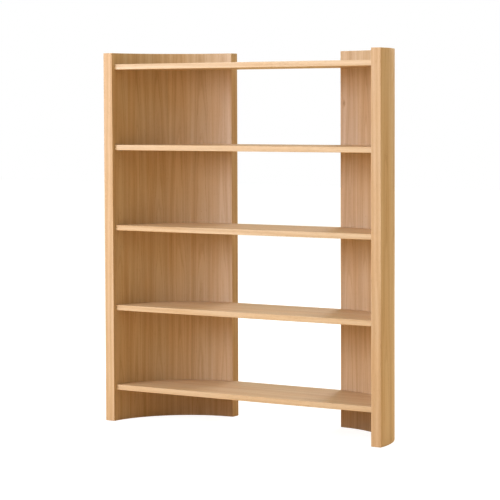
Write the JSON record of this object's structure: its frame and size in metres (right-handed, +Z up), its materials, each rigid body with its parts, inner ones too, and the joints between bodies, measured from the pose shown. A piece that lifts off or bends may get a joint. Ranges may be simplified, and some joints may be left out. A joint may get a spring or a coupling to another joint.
{
  "type": "bookcase",
  "caption": "Free-standing oak bookcase, open front and back, with quarter-round curved sides and straight shelves, some fixed and some adjustable in height on pins.",
  "frame": {"origin": "on the floor, under the middle of the case's width and depth", "axes": "+Z up, the open front faces -Y, +X to the right seen from the front"},
  "size_m": [1.21, 0.3699, 1.4],
  "materials": {
    "side_oak": "matt oiled oak, vertical grain",
    "shelf_oak": "matt oiled oak, grain along the shelf",
    "plug_oak": "matt oiled oak end grain",
    "tongue_ply": "raw birch plywood",
    "bright_steel": "zinc-plated steel",
    "cam_zinc": "die-cast zinc",
    "glide_plastic": "brown nylon"
  },
  "bodies": {
    "case": {"bottom_shelf_cam_bolts": "bright_steel", "bottom_shelf_cams": "cam_zinc", "bottom_shelf_front_board": "shelf_oak", "bottom_shelf_middle_board": "shelf_oak", "bottom_shelf_rear_board": "shelf_oak", "bottom_shelf_rear_screws": "bright_steel", "bottom_shelf_screw_plugs": "plug_oak", "left_side_glides": "glide_plastic", "left_side_hole_plugs": "plug_oak", "left_side_stave_1": "side_oak", "left_side_stave_2": "side_oak", "left_side_stave_3": "side_oak", "left_side_stave_4": "side_oak", "left_side_stave_5": "side_oak", "left_side_stave_6": "side_oak", "left_side_tongues": "tongue_ply", "lower_shelf_pins": "bright_steel", "middle_shelf_pins": "bright_steel", "right_side_glides": "glide_plastic", "right_side_hole_plugs": "plug_oak", "right_side_stave_1": "side_oak", "right_side_stave_2": "side_oak", "right_side_stave_3": "side_oak", "right_side_stave_4": "side_oak", "right_side_stave_5": "side_oak", "right_side_stave_6": "side_oak", "right_side_tongues": "tongue_ply", "top_shelf_cam_bolts": "bright_steel", "top_shelf_cams": "cam_zinc", "top_shelf_front_board": "shelf_oak", "top_shelf_middle_board": "shelf_oak", "top_shelf_rear_board": "shelf_oak", "top_shelf_rear_screws": "bright_steel", "top_shelf_screw_plugs": "plug_oak", "upper_shelf_pins": "bright_steel"},
    "lower_shelf": {"lower_shelf_front_board": "shelf_oak", "lower_shelf_middle_board": "shelf_oak", "lower_shelf_rear_board": "shelf_oak"},
    "middle_shelf": {"middle_shelf_front_board": "shelf_oak", "middle_shelf_middle_board": "shelf_oak", "middle_shelf_rear_board": "shelf_oak"},
    "upper_shelf": {"upper_shelf_front_board": "shelf_oak", "upper_shelf_middle_board": "shelf_oak", "upper_shelf_rear_board": "shelf_oak"}
  },
  "joints": [
    {"name": "lower_shelf_lift", "type": "slide", "parent": "case", "child": "lower_shelf", "axis": [0, 0, 1], "range_m": [0, 0.07]},
    {"name": "middle_shelf_lift", "type": "slide", "parent": "case", "child": "middle_shelf", "axis": [0, 0, 1], "range_m": [0, 0.07]},
    {"name": "upper_shelf_lift", "type": "slide", "parent": "case", "child": "upper_shelf", "axis": [0, 0, 1], "range_m": [0, 0.07]}
  ]
}
